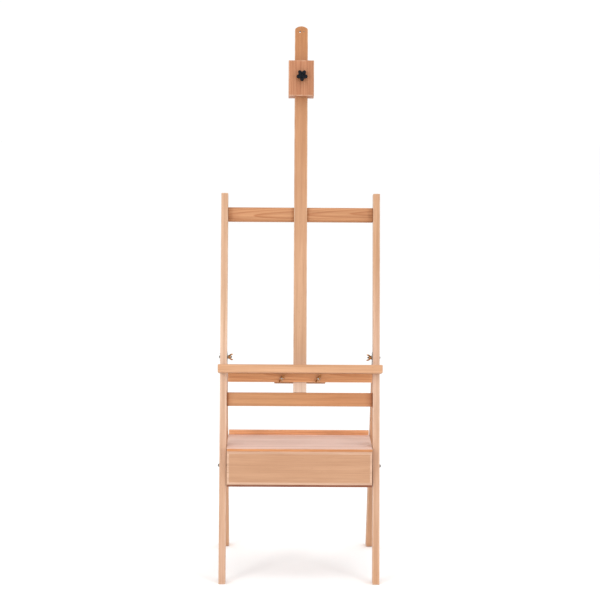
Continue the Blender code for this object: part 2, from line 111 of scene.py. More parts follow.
def ramp(tree, source, stops):
    """Colours along a factor; stops lists (place, colour)."""
    node = tree.nodes.new("ShaderNodeValToRGB")
    row = node.color_ramp.elements
    while len(row) < len(stops):
        row.new(0.5)
    for element, (place, colour) in zip(row, stops):
        element.position = place
        element.color = (*colour, 1.0)
    link(tree, source, node.inputs[0])
    return node.outputs[0]


def noise(tree, vector, scale, detail, roughness):
    node = tree.nodes.new("ShaderNodeTexNoise")
    node.inputs["Scale"].default_value = scale
    node.inputs["Detail"].default_value = detail
    node.inputs["Roughness"].default_value = roughness
    link(tree, vector, node.inputs["Vector"])
    return node.outputs["Fac"]


def mapping(tree, vector, location=(0, 0, 0), rotation=(0, 0, 0), scale=(1, 1, 1)):
    node = tree.nodes.new("ShaderNodeMapping")
    node.inputs["Location"].default_value = location
    node.inputs["Rotation"].default_value = rotation
    node.inputs["Scale"].default_value = scale
    link(tree, vector, node.inputs["Vector"])
    return node.outputs[0]


def mix_colour(tree, amount, first, second, blend="MIX"):
    node = tree.nodes.new("ShaderNodeMix")
    node.data_type = "RGBA"
    node.blend_type = blend
    for socket, value in ((node.inputs[0], amount), (node.inputs[6], first), (node.inputs[7], second)):
        if isinstance(value, (int, float)):
            socket.default_value = value
        elif isinstance(value, tuple):
            socket.default_value = (*value, 1.0)
        else:
            link(tree, value, socket)
    return node.outputs[2]


def axes_of(tree, vector):
    """The x, y and z outputs of a vector."""
    node = tree.nodes.new("ShaderNodeSeparateXYZ")
    link(tree, vector, node.inputs[0])
    return node.outputs


def bump(tree, shader, height, strength, distance):
    node = tree.nodes.new("ShaderNodeBump")
    node.inputs["Strength"].default_value = strength
    node.inputs["Distance"].default_value = distance
    link(tree, height, node.inputs["Height"])
    link(tree, node.outputs[0], shader.inputs["Normal"])


def shader_of(name):
    made = bpy.data.materials.new(name)
    made.use_nodes = True
    tree = made.node_tree
    return made, tree, tree.nodes["Principled BSDF"]


def object_place(tree):
    return tree.nodes.new("ShaderNodeTexCoord").outputs["Object"]


# =====================================================================================
# Oiled pine
# =====================================================================================
# scales of the grain, per metre: twice across a board, then along it
WANDER_SCALE, RAGGED_SCALE = (7.0, 7.0, 1.3), (70.0, 70.0, 5.0)
FIBRE_SCALE, STREAK_SCALE = (800.0, 800.0, 12.0), (120.0, 120.0, 2.2)
CLOUD_SCALE, FLECK_SCALE, PATCH_SCALE = (12.0, 12.0, 3.0), (420.0, 420.0, 60.0), (60.0, 60.0, 18.0)

# tones that the grain multiplies into the wood, with how far each one counts
STREAK_TONE = [(0.32, (0.80, 0.74, 0.68)), (0.62, grey(1.06))]
FIBRE_TONE, FIBRE_SHARE = [(0.32, (0.82, 0.75, 0.68)), (0.60, (1.03, 1.02, 1.01))], 0.60
CLOUD_TONE, CLOUD_SHARE = [(0.30, (0.93, 0.90, 0.87)), (0.72, grey(1.03))], 0.90
FLECK_TONE, FLECK_SHARE = [(0.70, FULL), (0.78, (0.62, 0.48, 0.38))], 0.55

# one growth ring, from its pale early wood to its dark late wood
RING = [(0.0, grey(0.05)), (0.40, grey(0.12)), (0.78, grey(0.70)), (0.92, FULL), (1.0, grey(0.05))]
WANDER, RAGGED = 0.020, 0.0012            # how far a ring strays from a true circle, broadly and finely
UPPER_END_SHARE = [(0.0, NONE), (0.15, grey(0.50)), (0.60, grey(0.75)), (1.0, FULL)]

RUB_REACH = 0.0042                        # how far in from an arris the wood is rubbed
RUB_FALL = [(0.15, FULL), (1.0, NONE)]
RUB_PATCHES = [(0.35, NONE), (0.65, FULL)]
RUBBED_WOOD, RUB_SHARE = (0.86, 0.68, 0.52), 0.38
OILED, OIL_VARIES = 0.50, 0.12            # roughness of the oiled faces
STREAKY, CALM = 0.85, 0.50                # how far the streaks count on most boards, and on the mast


def extent(board, turn):
    """The middle of a board and half its size, both in the frame that lays its length along Z."""
    corners = [turn @ vertex.co for vertex in bpy.data.objects[board].data.vertices]
    low = Vector([min(corner[i] for corner in corners) for i in range(3)])
    high = Vector([max(corner[i] for corner in corners) for i in range(3)])
    return (low + high) / 2, (high - low) / 2


def arrises(tree, plank, half):
    """1 on a board's arrises, falling to 0 a few millimetres in: the second nearest face decides."""
    reach = min(RUB_REACH, 0.45 * min(half))
    a, b, c = (math_node(tree, "SUBTRACT", size, math_node(tree, "ABSOLUTE", axis))
               for size, axis in zip(half, axes_of(tree, plank)))
    nearer, further = math_node(tree, "MINIMUM", a, b), math_node(tree, "MAXIMUM", a, b)
    second = math_node(tree, "MAXIMUM", nearer, math_node(tree, "MINIMUM", further, c))
    return ramp(tree, math_node(tree, "DIVIDE", second, reach), RUB_FALL)


def grain(tree, vector, scale, detail, roughness, slid=(0, 0, 0)):
    """Noise drawn out along the board."""
    return noise(tree, mapping(tree, vector, location=slid, scale=scale), 1.0, detail, roughness)


def growth_rings(tree, leaning, ring):
    """How far through its growth ring each place is, as a tone from early wood to late wood."""
    wander = grain(tree, leaning, WANDER_SCALE, 2.0, 0.5)
    ragged = grain(tree, leaning, RAGGED_SCALE, 2.0, 0.6)
    x, y, _ = axes_of(tree, leaning)
    radius = math_node(tree, "SQRT", plus(tree, times(tree, x, x), times(tree, y, y)))
    radius = plus(tree, radius, times(tree, wander, WANDER))
    radius = plus(tree, radius, times(tree, ragged, RAGGED))
    return ramp(tree, math_node(tree, "FRACT", math_node(tree, "DIVIDE", radius, ring)), RING)


def pine(name, board, run, early, late, figure, ring, pith, tip, far=None, tones=None, streaky=STREAKY):
    """Planed, oiled pine. run is the turn that lays the board's length along Z. The growth rings are
    wavering cylinders round a pith that lies beside the board and leans by tip degrees, so that flat faces
    show arches, edges show straight lines and ends show curved rings. figure is the strength of the rings
    and ring their width. far is the colour pair at the board's upper end, which is darker than its lower
    end, and tones tint it from one end to the other. Arrises are rubbed."""
    made, tree, shader = shader_of(name)
    middle, half = extent(board, Euler(run).to_matrix())
    seed = 7.3 * sum(ord(letter) for letter in board) % 50
    slid = (seed * 0.37, seed * 0.11, seed)
    plank = mapping(tree, object_place(tree), location=-middle, rotation=run)
    leaning = mapping(tree, plank, location=(*pith, seed),
                      rotation=(math.radians(tip), math.radians(tip * 0.4), 0))
    rings = growth_rings(tree, leaning, ring)
    fibres = grain(tree, plank, FIBRE_SCALE, 5.0, 0.62, slid)
    streaks = grain(tree, plank, STREAK_SCALE, 3.0, 0.55, slid)
    clouds = grain(tree, plank, CLOUD_SCALE, 3.0, 0.5, slid)
    flecks = grain(tree, plank, FLECK_SCALE, 2.0, 0.5, slid)

    length = math_node(tree, "DIVIDE", plus(tree, axes_of(tree, plank)[2], half.z), 2 * half.z)
    if far:
        upper_share = ramp(tree, length, UPPER_END_SHARE)
        early = mix_colour(tree, upper_share, early, far[0])
        late = mix_colour(tree, upper_share, late, far[1])
    body = mix_colour(tree, times(tree, rings, figure), early, late)
    for source, tone, share in ((streaks, STREAK_TONE, streaky), (fibres, FIBRE_TONE, FIBRE_SHARE),
                                (clouds, CLOUD_TONE, CLOUD_SHARE), (flecks, FLECK_TONE, FLECK_SHARE)):
        body = mix_colour(tree, share, body, ramp(tree, source, tone), "MULTIPLY")
    if tones:
        body = mix_colour(tree, 1.0, body, ramp(tree, length, tones), "MULTIPLY")
    patches = ramp(tree, grain(tree, plank, PATCH_SCALE, 3.0, 0.6, slid), RUB_PATCHES)
    rubbed = times(tree, arrises(tree, plank, half), patches)
    body = mix_colour(tree, times(tree, rubbed, RUB_SHARE), body, RUBBED_WOOD)
    link(tree, body, shader.inputs["Base Color"])

    oil = plus(tree, times(tree, fibres, 0.5), times(tree, rings, 0.35))
    gloss = ramp(tree, oil, [(0.20, grey(OILED + OIL_VARIES)), (0.75, grey(OILED - OIL_VARIES))])
    link(tree, gloss, shader.inputs["Roughness"])
    height = plus(tree, times(tree, fibres, 0.6), times(tree, rings, 0.4))
    bump(tree, shader, height, strength=0.35, distance=0.0004)
    shader.inputs["Specular IOR Level"].default_value = 0.35
    shader.inputs["Coat Weight"].default_value = 0.05
    shader.inputs["Coat Roughness"].default_value = 0.35
    return made


# turns that lay a board's length along Z
ACROSS = (0, math.radians(-90), 0)        # boards that run across the easel
UP_FRAME = (LEAN, 0, 0)                   # boards that run up the leaning frame
DOWN_LEG = (-LEG_SPLAY, 0, 0)             # boards that run along a rear leg
FORWARD = (math.radians(90), 0, 0)        # boards that run front to back
UPRIGHT = (0, 0, 0)

PALE = ((0.600, 0.386, 0.260), (0.450, 0.246, 0.138))
MID = ((0.580, 0.338, 0.205), (0.435, 0.212, 0.100))
LIP = ((0.588, 0.338, 0.195), (0.456, 0.224, 0.106))
WARM = ((0.532, 0.272, 0.136), (0.370, 0.138, 0.049))
TRAY_WARM = ((0.663, 0.330, 0.155), (0.460, 0.170, 0.056))
RUST = ((0.744, 0.376, 0.187), (0.530, 0.190, 0.070))
DARK = ((0.456, 0.213, 0.112), (0.320, 0.112, 0.045))
# dark brown for the box floor, whose front edge shows under the drawer: painted shade
BROWN_PAINTED_SHADE = ((0.225, 0.070, 0.030), (0.170, 0.046, 0.017))
# the mast's colour pair at its upper end, darker than at its foot
MAST_TOP = ((0.415, 0.184, 0.073), (0.300, 0.105, 0.032))
LIGHT = ((0.680, 0.508, 0.416), (0.560, 0.360, 0.260))
FRONT = ((0.516, 0.297, 0.178), (0.407, 0.198, 0.099))
# a paler copy of the drawer front's pine for its sloping border: painted light on the slopes
BORDER_PAINTED_LIGHT = ((0.622, 0.412, 0.296), (0.520, 0.310, 0.200))
PINK = ((0.768, 0.560, 0.494), (0.668, 0.454, 0.374))
# darker, more orange pine for the lid's forward faces: painted shade on its front edge
FRONT_EDGE_SHADE_TONES = ((0.560, 0.240, 0.092), (0.420, 0.145, 0.045))


# =====================================================================================
# Metal and plastic
# =====================================================================================
def worn_metal(name, bright, dull, roughness):
    """Plated metal with blotchy tarnish and a fine, even roughness."""
    made, tree, shader = shader_of(name)
    where = object_place(tree)
    blotch = noise(tree, where, 320.0, 4.0, 0.6)
    frost = noise(tree, where, 2600.0, 3.0, 0.6)
    patch = ramp(tree, blotch, [(0.35, NONE), (0.68, FULL)])
    tone = mix_colour(tree, times(tree, patch, 0.5), bright, dull)
    tone = mix_colour(tree, 0.25, tone, ramp(tree, frost, [(0.3, grey(0.7)), (0.7, grey(1.1))]), "MULTIPLY")
    link(tree, tone, shader.inputs["Base Color"])
    shader.inputs["Metallic"].default_value = 1.0
    rough = ramp(tree, blotch, [(0.3, grey(roughness)), (0.75, grey(roughness + 0.25))])
    link(tree, rough, shader.inputs["Roughness"])
    bump(tree, shader, frost, strength=0.25, distance=0.0001)
    return made


def moulded_black(name):
    """Near-black moulded plastic with a fine spark texture and slightly paler rubbed patches."""
    made, tree, shader = shader_of(name)
    where = object_place(tree)
    spark = noise(tree, where, 2200.0, 3.0, 0.7)
    rubbed = noise(tree, where, 120.0, 3.0, 0.55)
    colour = ramp(tree, rubbed, [(0.40, (0.004, 0.005, 0.008)), (0.75, (0.011, 0.013, 0.018))])
    link(tree, colour, shader.inputs["Base Color"])
    rough = plus(tree, times(tree, spark, 0.4), times(tree, rubbed, 0.6))
    link(tree, ramp(tree, rough, [(0.3, grey(0.30)), (0.7, grey(0.52))]), shader.inputs["Roughness"])
    shader.inputs["Specular IOR Level"].default_value = 0.10
    bump(tree, shader, spark, strength=0.3, distance=0.00015)
    return made


STEEL = worn_metal("zinc steel", (0.50, 0.48, 0.45), (0.26, 0.23, 0.20), 0.34)
DARK_STEEL = worn_metal("plate steel", (0.36, 0.34, 0.32), (0.20, 0.18, 0.16), 0.40)
BOLT_STEEL = worn_metal("dulled bolt steel", (0.24, 0.22, 0.20), (0.12, 0.10, 0.09), 0.38)
BRASS = worn_metal("coppery brass", (0.62, 0.34, 0.13), (0.28, 0.12, 0.045), 0.28)
BLACK = moulded_black("black knob plastic")


# =====================================================================================
# Making pieces
# =====================================================================================
def only(thing):
    """Selects one object and nothing else."""
    bpy.ops.object.select_all(action="DESELECT")
    thing.select_set(True)
    bpy.context.view_layer.objects.active = thing


def wear(thing, look):
    thing.data.materials.clear()
    thing.data.materials.append(look)


def second_look(thing, look, chosen):
    """Gives some of a piece's faces another material."""
    thing.data.materials.append(look)
    for face in thing.data.polygons:
        if chosen(face):
            face.material_index = len(thing.data.materials) - 1


def settle(thing):
    """Leaves the object at the origin with its place in its mesh."""
    only(thing)
    bpy.ops.object.transform_apply(location=True, rotation=True, scale=True)


def started(name):
    """Names the primitive that was just added and settles it."""
    thing = bpy.context.active_object
    thing.name = name
    settle(thing)
    return thing


def block(name, centre, size, turn=0.0):
    bpy.ops.object.select_all(action="DESELECT")
    bpy.ops.mesh.primitive_cube_add(size=1.0, location=centre, rotation=(0, 0, turn), scale=size)
    return started(name)


def pick_face(thing, rating):
    """Enters edit mode with only the face of the highest rating selected."""
    only(thing)
    bpy.ops.object.mode_set(mode="EDIT")
    bpy.ops.mesh.select_mode(type="FACE")
    bpy.ops.mesh.select_all(action="DESELECT")
    bpy.ops.object.mode_set(mode="OBJECT")
    max(thing.data.polygons, key=rating).select = True
    bpy.ops.object.mode_set(mode="EDIT")


def outwards():
    """Turns every face of the mesh in edit mode to point outwards, and leaves edit mode."""
    bpy.ops.mesh.select_all(action="SELECT")
    bpy.ops.mesh.normals_make_consistent(inside=False)
    bpy.ops.object.mode_set(mode="OBJECT")


def rounded(thing, width, segments, angle=30):
    only(thing)
    bevel = thing.modifiers.new("rounded edges", "BEVEL")
    bevel.width = width
    bevel.segments = segments
    bevel.limit_method = "ANGLE"
    bevel.angle_limit = math.radians(angle)
    bpy.ops.object.modifier_apply(modifier=bevel.name)


def smooth(thing, angle=38):
    only(thing)
    bpy.ops.object.shade_smooth_by_angle(angle=math.radians(angle))


def fitted(thing, look, body, slot, *nodes, angle=38):
    """Finishes a piece: its look, the body it rides on and the nodes it stands for, which it hides. slot is
    not used.
    """
    smooth(thing, angle)
    wear(thing, look)
    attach(thing, body)
    if nodes:
        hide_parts(*nodes)
    return thing


def fine_copy(node, look, body, slot, edge, name):
    """A finer copy of a cut node: its loose faces are joined, flat areas cleared and every edge rounded."""
    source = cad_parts[node]
    thing = source.copy()
    thing.data = source.data.copy()
    thing.name = name
    thing.parent = None
    for key in list(thing.keys()):
        del thing[key]
    bpy.context.scene.collection.objects.link(thing)
    only(thing)
    bpy.ops.object.mode_set(mode="EDIT")
    bpy.ops.mesh.select_all(action="SELECT")
    bpy.ops.mesh.remove_doubles(threshold=0.00001)
    bpy.ops.mesh.dissolve_limited(angle_limit=math.radians(0.8))
    outwards()
    if thing.data.has_custom_normals:
        bpy.ops.mesh.customdata_custom_splitnormals_clear()
    rounded(thing, edge, 2)
    return fitted(thing, look, body, slot, node)


# ---- timber ----
# board: body, record slot, turn, colours, arris, figure, ring width, pith beside the board, pith's lean
BOARDS = {
    "upright_left": ("front_frame", "pale_pine", UP_FRAME, PALE, 0.0008, 0.42, 0.0034, (0.045, 0.03), 0.6),
    "upright_right": ("front_frame", "pale_pine", UP_FRAME, PALE, 0.0008, 0.45, 0.0036, (-0.050, 0.02), 0.5),
    "top_crossbar": ("front_frame", "orange_pine", ACROSS, WARM, 0.0006, 0.80, 0.0052, (0.006, 0.030), 2.2),
    "lower_crossbar": ("front_frame", "orange_pine", ACROSS, WARM, 0.0006, 0.42, 0.0034, (0.060, 0.035), 0.7),
    "mast": ("front_frame", "pine", UP_FRAME, LIGHT, 0.0008, 0.32, 0.0046, (0.035, 0.030), 0.5),
    "leg_left": ("leg_left", "pine", DOWN_LEG, MID, 0.0008, 0.35, 0.0038, (0.040, 0.030), 0.7),
    "leg_right": ("leg_right", "pine", DOWN_LEG, MID, 0.0008, 0.35, 0.0040, (-0.040, 0.030), 0.7),
    "box_lid": ("box", "pale_pine", ACROSS, PINK, 0.0006, 0.28, 0.0060, (0.030, 0.060), 0.8),
    # the box floor's dark brown is painted shade on its front edge under the drawer
    "box_floor": ("box", "pine", ACROSS, BROWN_PAINTED_SHADE, 0.0005, 0.30, 0.0050, (0.040, 0.050), 1.2),
    "box_back": ("box", "orange_pine", ACROSS, RUST, 0.0006, 0.45, 0.0050, (0.050, 0.040), 1.0),
    "box_side_left": ("box", "pine", FORWARD, FRONT, 0.0005, 0.50, 0.0046, (0.040, 0.020), 2.2),
    "box_side_right": ("box", "pine", FORWARD, FRONT, 0.0005, 0.50, 0.0046, (-0.040, 0.025), 2.2),
    "box_hook_left": ("box", "pine", UPRIGHT, MID, 0.0005, 0.45, 0.0040, (0.030, 0.020), 1.5),
    "box_hook_right": ("box", "pine", UPRIGHT, MID, 0.0005, 0.45, 0.0040, (-0.030, 0.020), 1.5),
    "drawer_guide_left": ("box", "pine", FORWARD, MID, 0.0004, 0.30, 0.0040, (0.030, 0.020), 1.0),
    "drawer_guide_right": ("box", "pine", FORWARD, MID, 0.0004, 0.30, 0.0040, (-0.030, 0.020), 1.0),
    "drawer_side_left": ("drawer", "pine", FORWARD, PALE, 0.0005, 0.35, 0.0044, (0.030, 0.030), 1.4),
    "drawer_side_right": ("drawer", "pine", FORWARD, PALE, 0.0005, 0.35, 0.0044, (-0.030, 0.030), 1.4),
    "drawer_back": ("drawer", "pine", ACROSS, PALE, 0.0005, 0.35, 0.0044, (0.040, 0.030), 1.2),
    "drawer_floor": ("drawer", "pale_pine", ACROSS, PALE, 0.0003, 0.20, 0.0080, (0.020, 0.200), 0.5),
    "tray_shelf": ("tray", "pine", ACROSS, MID, 0.0006, 0.45, 0.0048, (0.020, 0.050), 1.4),
    "tray_lip": ("tray", "pine", ACROSS, LIP, 0.0010, 0.35, 0.0044, (0.050, 0.030), 0.8),
    "tray_board": ("tray", "orange_pine", ACROSS, TRAY_WARM, 0.0008, 0.65, 0.0050, (0.010, 0.035), 1.5),
    "tray_block": ("tray", "orange_pine", ACROSS, WARM, 0.0008, 0.55, 0.0048, (0.020, 0.035), 2.0),
    "holder_block": ("holder", "orange_pine", UP_FRAME, DARK, 0.0008, 0.70, 0.0040, (0.010, 0.060), 1.4),
    "holder_back_plate": ("holder", "orange_pine", UP_FRAME, DARK, 0.0008, 0.60, 0.0048, (0.020, 0.040), 1.8),
}


# tints from a board's lower or left end, 0, to its upper or right end, 1, that no ring or fibre gives
TONES = {
    "upright_left": [(0.0, (0.96, 0.96, 1.02)), (0.28, (1.00, 0.99, 1.00)), (0.36, (1.08, 1.11, 1.20)),
                     (0.55, (1.17, 1.32, 1.50)), (0.68, (1.04, 1.11, 1.16)), (1.0, (0.92, 0.90, 0.87))],
    "upright_right": [(0.0, (1.02, 0.94, 0.86)), (0.20, (1.06, 1.08, 1.14)), (0.29, (0.97, 0.94, 0.95)),
                      (0.36, (1.06, 1.08, 1.14)), (0.50, (1.11, 1.22, 1.38)), (0.68, (0.96, 0.96, 1.00)),
                      (0.85, (0.92, 0.86, 0.77)), (1.0, (0.90, 0.85, 0.78))],
    # the lower crossbar's dark stops at both ends are painted shade, where it sits back between the uprights
    "lower_crossbar": [(0.026, (0.72, 0.54, 0.44)), (0.048, (0.98, 0.96, 0.91)), (0.07, (1.05, 1.08, 1.06)),
                       (0.35, (1.03, 1.05, 1.00)), (0.75, (0.96, 0.88, 0.79)), (0.92, (1.00, 0.93, 0.86)),
                       (0.95, (0.88, 0.76, 0.68)), (0.974, (0.64, 0.45, 0.37))],
    "mast": [(0.05, (1.02, 1.07, 1.07)), (0.12, (1.01, 0.99, 0.88)), (0.65, (1.02, 1.01, 0.91)),
             (0.90, (0.99, 0.98, 0.93))],
}


def timber():
    for node, (body, slot, run, tones, arris, figure, ring, pith, tip) in BOARDS.items():
        far, streaky = (MAST_TOP, CALM) if node == "mast" else (None, STREAKY)
        look = pine("pine of " + node, node, run, *tones, figure, ring, pith, tip, far,
                    TONES.get(node), streaky)
        made = fine_copy(node, look, body, slot, arris, node + "_timber")
        if node == "box_lid":
            # the faces that look forward get a darker, more orange copy of the pine than the pale top:
            # painted shade
            shaded_front_edge = pine("lipping of box_lid", node, ACROSS, *FRONT_EDGE_SHADE_TONES, 0.4, 0.0040, (0.050, 0.030), 0.8)
            second_look(made, shaded_front_edge, lambda face: face.normal.y < -0.5)


def drawer_front():
    """The drawer's face: a sloping border on all four sides, a small step, and a flat field."""
    low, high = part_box("drawer_front")
    fall, step, border, riser = 0.0030, 0.0011, 0.0085, 0.0004
    made = block("fielded_drawer_front", (low + high) / 2, high - low)
    pick_face(made, lambda face: -face.center.y)
    bpy.ops.transform.translate(value=(0, fall, 0))
    bpy.ops.mesh.inset(thickness=border, depth=0)
    bpy.ops.transform.translate(value=(0, step - fall, 0))
    bpy.ops.mesh.inset(thickness=riser, depth=0)
    bpy.ops.transform.translate(value=(0, -step, 0))
    outwards()

    def sloping(face):
        return (face.center.y < low.y + fall and face.area > 0.0004
                and (abs(face.normal.x) > 0.1 or abs(face.normal.z) > 0.1))

    rings = 0.0042, (0.090, 0.040), 0.7
    wear(made, pine("pine of drawer_front", "drawer_front", ACROSS, *FRONT, 0.28, *rings, streaky=0.45))
    # the sloping border wears the paler copy of the pine: painted light, standing in for the light the slopes
    # catch
    second_look(made, pine("painted-light border of drawer_front", "drawer_front", ACROSS, *BORDER_PAINTED_LIGHT, 0.30, *rings), sloping)
    rounded(made, 0.0005, 3, 12)
    smooth(made, 30)
    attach(made, "drawer")
    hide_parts("drawer_front")


# ---- turned and shaped metalwork ----
FRONT_FRAME = "front_frame"
SIDES = (("left", -1), ("right", 1))
M6, M8 = 0.0030, 0.0040                   # radii of the threads
PITCH, COARSE_PITCH = 0.0010, 0.00125
FINEST = 0.0004                           # least radius in a turned piece
LEG_HINGE = (0.068, 0.794)                # depth and length along the frame
BOX_HINGE = (0.022, 0.412)
STUD_DOWN = 0.3614                        # leg hinge to the stud that holds the box
PLATE_RIVETS = (("upper", 0.803), ("lower", 0.781))
TRAY_BOLT = (0.064, 0.715)                # half spacing, and length along the frame
TRAY_SHELF = 0.733
KNOB = (0.0025, 1.786)                    # off the middle, and length along the frame
OUTSIDE = FRAME_HALF + GAP                # where heads sit on the uprights

LEG_AXES = Matrix.Translation(on_frame(0, *LEG_HINGE)) @ Matrix.Rotation(LEG_SPLAY, 4, "X")
BOX_AXES = Matrix.Translation(on_frame(0, *BOX_HINGE))


def turned(name, steps, sides=32):
    """A turned piece that stands on +Z: a disc whose face is extruded and resized step by step.
    steps lists (height, radius)."""
    bpy.ops.object.select_all(action="DESELECT")
    (height, radius), *rest = steps
    bpy.ops.mesh.primitive_circle_add(vertices=sides, radius=radius, fill_type="NGON",
                                      location=(0, 0, height))
    thing = started(name)
    bpy.ops.object.mode_set(mode="EDIT")
    bpy.ops.mesh.select_all(action="SELECT")
    for next_height, next_radius in rest:
        bpy.ops.mesh.extrude_region_move(TRANSFORM_OT_translate={"value": (0, 0, next_height - height)})
        factor = next_radius / radius
        bpy.ops.transform.resize(value=(factor, factor, 1))
        height, radius = next_height, next_radius
    outwards()
    return thing


def thread(start, stop, crest, pitch=PITCH):
    """Steps of a threaded stretch between two heights: a root and a flat crest for every turn."""
    direction = 1 if stop > start else -1
    count = int(abs(stop - start) / pitch)
    steps = []
    for turn in range(count):
        base = start + direction * turn * pitch
        steps += [(base, crest * 0.86), (base + direction * pitch * 0.42, crest),
                  (base + direction * pitch * 0.58, crest)]
    return steps + [(stop, crest * 0.80)]


def domed(radius, high, rings=6):
    """Steps of a domed head, from its crown down to its rim at height 0; the crown is at +high."""
    steps = []
    for i in range(rings + 1):
        angle = math.pi / 2 * (1 - i / rings)
        steps.append((high * math.sin(angle), max(radius * math.cos(angle), FINEST)))
    return steps


def place(thing, axes, spot, aim, across=None):
    """Turns a piece's +Z to aim and its +X to across, stands it on spot, all in axes, and applies it."""
    out = Vector(aim).normalized()
    level = Vector(across) if across else out.orthogonal()
    level.normalize()
    turn = Matrix((level, out.cross(level), out)).transposed().to_4x4()
    thing.matrix_world = axes @ Matrix.Translation(spot) @ turn
    settle(thing)
    return thing


def twin(thing, name):
    copy = thing.copy()
    copy.data = thing.data.copy()
    copy.name = name
    bpy.context.scene.collection.objects.link(copy)
    return copy


def cut(thing, cutter, operation="DIFFERENCE"):
    only(thing)
    step = thing.modifiers.new("cut", "BOOLEAN")
    step.operation = operation
    step.object = cutter
    bpy.ops.object.modifier_apply(modifier=step.name)
    bpy.data.objects.remove(cutter)


def bolt(name, head_radius, head_high, shank, plain):
    """An M6 bolt with a domed head above height 0: its shank goes down to -shank, and is threaded below
    the plain share of its length."""
    under = -GAP
    steps = domed(head_radius, head_high) + [(under, head_radius * 0.97), (under, M6), (-shank * plain, M6)]
    return turned(name, steps + thread(-shank * plain, -shank, M6), 28)


def rivet(name, sign, along, node):
    length = FRAME_HALF - INNER_HALF + 2 * GAP
    shank_radius = 0.0021
    crown = domed(0.0036, 0.0014, 4)
    tail = [(-length - h, r) for h, r in reversed(crown)]
    made = turned(name, crown + [(0.0, shank_radius), (-length, shank_radius)] + tail, 20)
    place(made, ALONG_FRAME, (sign * OUTSIDE, 0.026, along), (sign, 0, 0))
    fitted(made, DARK_STEEL, FRONT_FRAME, "steel", node)


def fastenings():
    for side, sign in SIDES:
        out = (sign, 0, 0)
        outside = sign * OUTSIDE
        hinge = bolt(f"leg_hinge_bolt_{side}", head_radius=0.0056, head_high=0.0057, shank=0.0405, plain=0.62)
        place(hinge, ALONG_FRAME, (outside, *LEG_HINGE), out)
        fitted(hinge, BOLT_STEEL, FRONT_FRAME, "steel", f"leg_bolt_{side}")
        pivot = bolt(f"box_hinge_bolt_{side}", head_radius=0.0060, head_high=0.0056, shank=0.0440, plain=0.75)
        place(pivot, ALONG_FRAME, (outside, *BOX_HINGE), out)
        fitted(pivot, BOLT_STEEL, FRONT_FRAME, "steel", f"box_bolt_{side}")
        shank = [(-GAP, 0.0053), (-GAP, M6), (-0.0254, M6), (-0.0257, M6 * 0.9)]
        stud = turned(f"box_stud_{side}", domed(0.0055, 0.0035) + shank, 28)
        place(stud, LEG_AXES, (outside, 0, -STUD_DOWN), out)
        fitted(stud, BOLT_STEEL, f"leg_{side}", "steel", f"leg_stud_{side}")
        clamp = bolt(f"tray_clamp_bolt_{side}", head_radius=0.0065, head_high=0.0038, shank=0.0643,
                     plain=0.72)
        place(clamp, ALONG_FRAME, (sign * TRAY_BOLT[0], 0.0493, TRAY_BOLT[1]), (0, 1, 0))
        fitted(clamp, STEEL, "tray", "steel", f"tray_bolt_{side}")
        for word, along in PLATE_RIVETS:
            rivet(f"plate_rivet_{side}_{word}", sign, along, f"hinge_rivet_{side}_{word}")
        for node, look, body, edge, name in (
                ("hinge_plate_{}_inner", DARK_STEEL, FRONT_FRAME, 0.0003, "let_in_plate_{}_inner"),
                ("hinge_plate_{}_outer", DARK_STEEL, FRONT_FRAME, 0.0003, "let_in_plate_{}_outer"),
                ("leg_washer_{}", STEEL, FRONT_FRAME, 0.0002, "leg_hinge_washer_{}"),
                ("box_nut_{}", STEEL, FRONT_FRAME, 0.0004, "box_hinge_nut_{}"),
                ("tray_washer_{}", STEEL, "tray", 0.0002, "tray_clamp_washer_{}")):
            fine_copy(node.format(side), look, body, "steel", edge, name.format(side))
    fine_copy("holder_bush", BRASS, "holder", "brass", 0.0002, "knob_bush")
    fine_copy("holder_pad", BRASS, "holder", "brass", 0.0003, "pressure_pad")


NUT_HUB = [(0.0, 0.0062), (0.0004, 0.0068), (0.0014, 0.0068), (0.0020, 0.0060), (0.0060, 0.0054),
           (0.0084, 0.0050), (0.0090, 0.0044)]
# each step of an ear: how far outward and up it goes, then how much thinner and taller it gets
EAR_STEPS = ((0.0032, 0.0022, 0.92, 1.15), (0.0032, 0.0034, 0.95, 1.25), (0.0026, 0.0028, 0.96, 1.10),
             (0.0014, 0.0009, 0.80, 0.80))


def wing_nut(name):
    """A wing nut, foot on height 0: a flared hub, two ears that grow from it along X, and its bore."""
    hub = turned(name, NUT_HUB, 32)
    for turn in (0.0, math.pi):
        ear = block("nut_ear", (0.0042, 0, 0.0045), (0.0042, 0.0068, 0.0066))
        pick_face(ear, lambda face: (round(face.normal.x, 3), face.center.x))
        for outward, up, thinner, taller in EAR_STEPS:
            bpy.ops.mesh.extrude_region_move(TRANSFORM_OT_translate={"value": (outward, 0, up)})
            bpy.ops.transform.resize(value=(1, thinner, taller))
        bpy.ops.object.mode_set(mode="OBJECT")
        only(ear)
        rounding = ear.modifiers.new("rounding", "SUBSURF")
        rounding.levels = rounding.render_levels = 2
        bpy.ops.object.modifier_apply(modifier=rounding.name)
        if turn:
            ear.rotation_euler.z = turn
            settle(ear)
        cut(hub, ear, "UNION")
    cut(hub, turned("nut_bore", [(-0.002, M6 * 1.05), (0.012, M6 * 1.05)], 28))
    return hub


